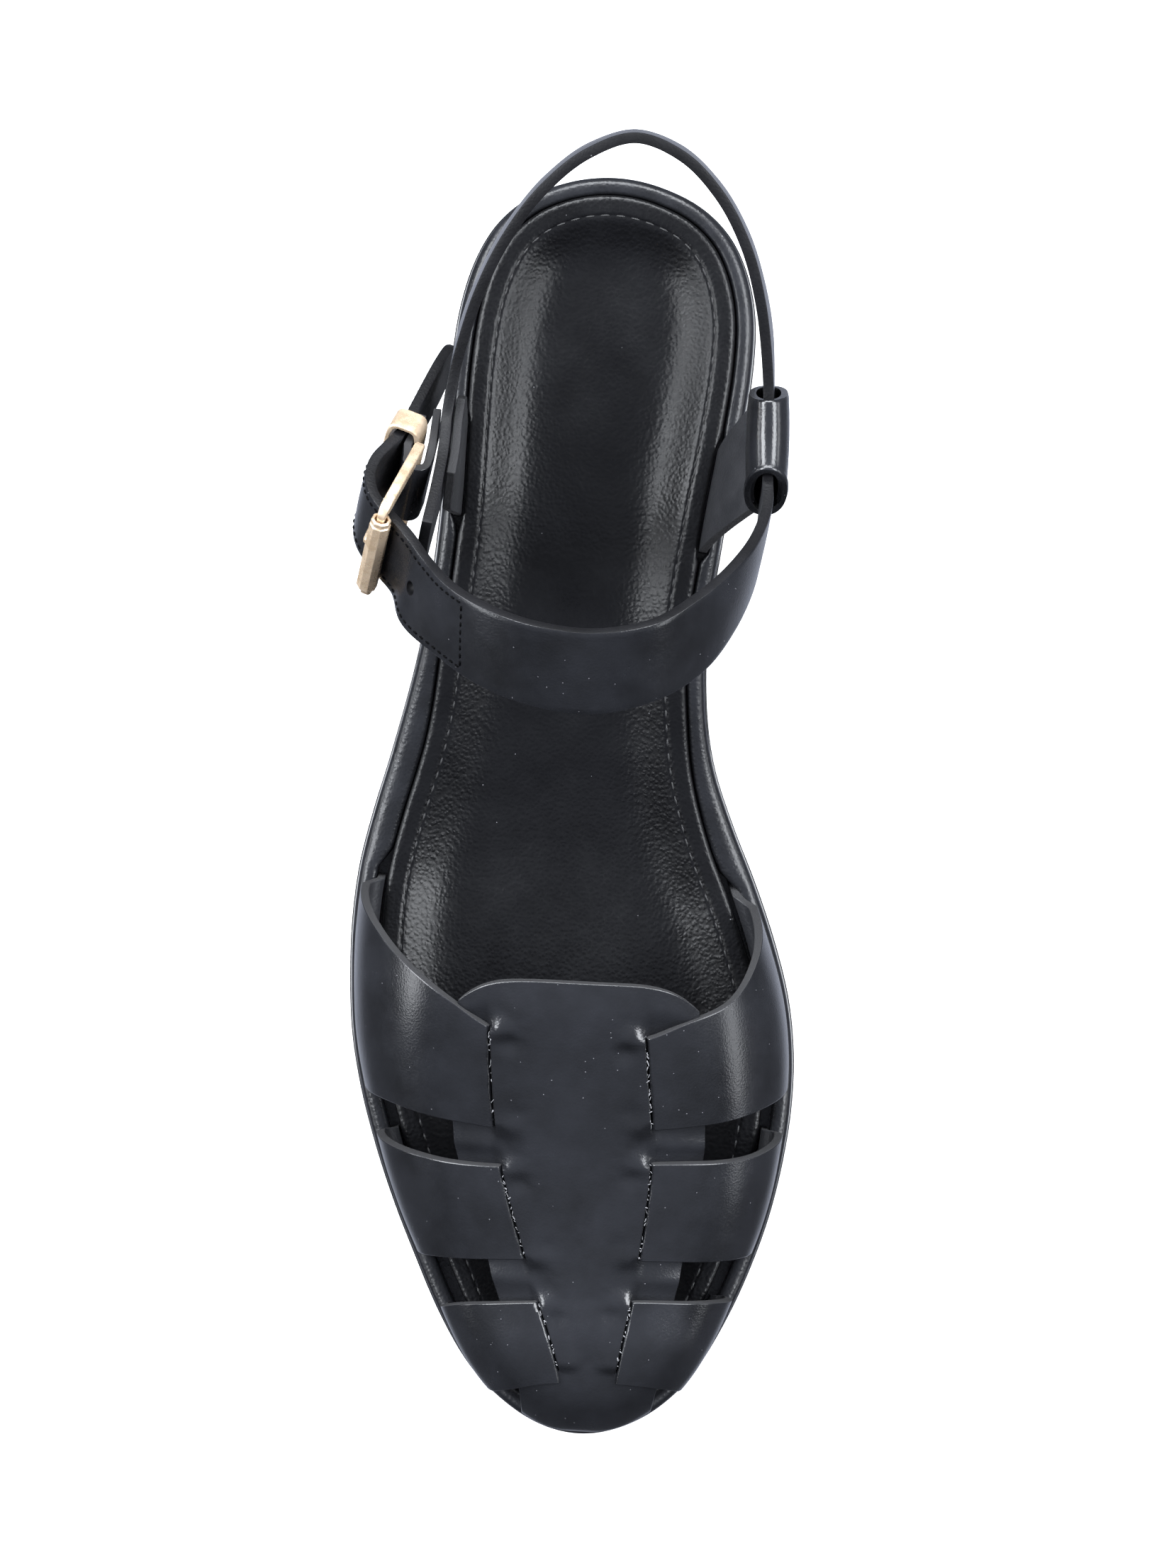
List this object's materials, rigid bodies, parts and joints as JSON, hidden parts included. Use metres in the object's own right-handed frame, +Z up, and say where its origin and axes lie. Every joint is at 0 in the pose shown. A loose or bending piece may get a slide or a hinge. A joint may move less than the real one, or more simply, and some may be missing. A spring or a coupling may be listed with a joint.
{
  "type": "fisherman sandal",
  "caption": "Black leather fisherman sandal with a woven strap vamp, slingback ankle strap with a gold roller buckle, padded footbed, slim sole and low heel.",
  "frame": {"origin": "on the floor under the middle of the sandal's bounding box", "axes": "+Z up from the floor, -Y towards the toe, +Y towards the heel, +X towards the medial (big toe) side, -X towards the lateral (buckle) side"},
  "size_m": [0.0959, 0.2649, 0.1087],
  "materials": {
    "outsole_gloss": "polished, high gloss",
    "tread_rubber": "matte",
    "heel_block": "semi-gloss",
    "rim_leather": "satin, fine grain",
    "footbed_leather": "satin, pebbled grain",
    "upper_leather": "smooth, semi-gloss",
    "buckle_metal": "polished champagne gold plating"
  },
  "bodies": {
    "root": {"outsole": "outsole_gloss", "forefoot_pad": "tread_rubber", "heel_block": "heel_block", "top_lift": "tread_rubber", "midsole": "rim_leather", "footbed": "footbed_leather", "vamp_weave": "upper_leather", "medial_tab": "upper_leather", "lateral_tab": "upper_leather", "ankle_strap": "upper_leather", "buckle_chape": "upper_leather", "buckle_frame": "buckle_metal", "buckle_roller": "buckle_metal", "buckle_prong": "buckle_metal", "strap_keeper": "buckle_metal"}
  },
  "joints": []
}
